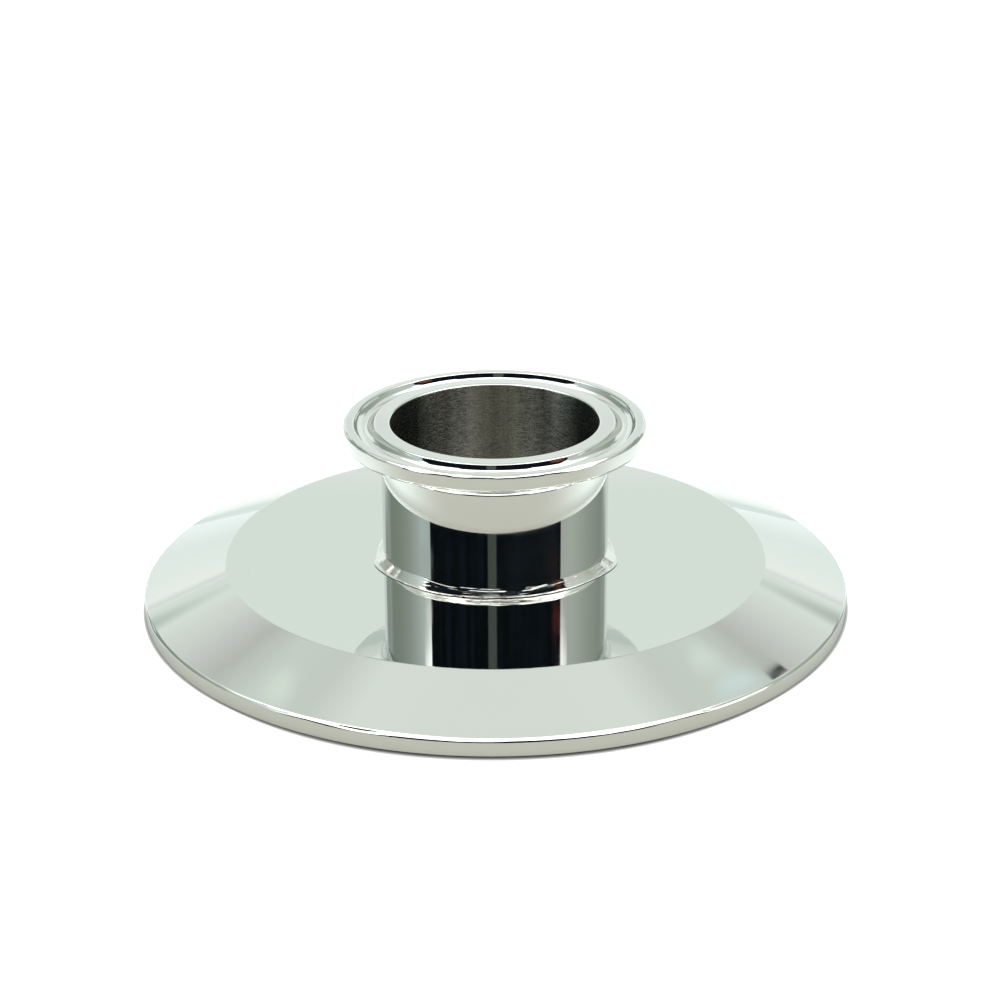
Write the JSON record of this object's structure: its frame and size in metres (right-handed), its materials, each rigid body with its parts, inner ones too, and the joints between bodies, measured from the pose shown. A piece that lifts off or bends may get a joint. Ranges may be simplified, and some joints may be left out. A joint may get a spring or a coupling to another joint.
{
  "type": "sanitary clamp reducer",
  "caption": "Cap-style sanitary reducer: a large bevelled clamp flange disc with a short tube welded through it that ends in a small clamp flange, polished all over.",
  "frame": {"origin": "on the bore's axis, in the plane of the large mating face that the part rests on", "axes": "+Z along the bore's axis, from the large mating face to the small one"},
  "size_m": [0.119, 0.119, 0.0318],
  "materials": {
    "polished_steel": "polished",
    "weld_metal": "gloss"
  },
  "bodies": {
    "root": {"clamp_cap_plate": "polished_steel", "clamp_ferrule": "polished_steel", "weld_bead": "weld_metal"}
  },
  "joints": []
}
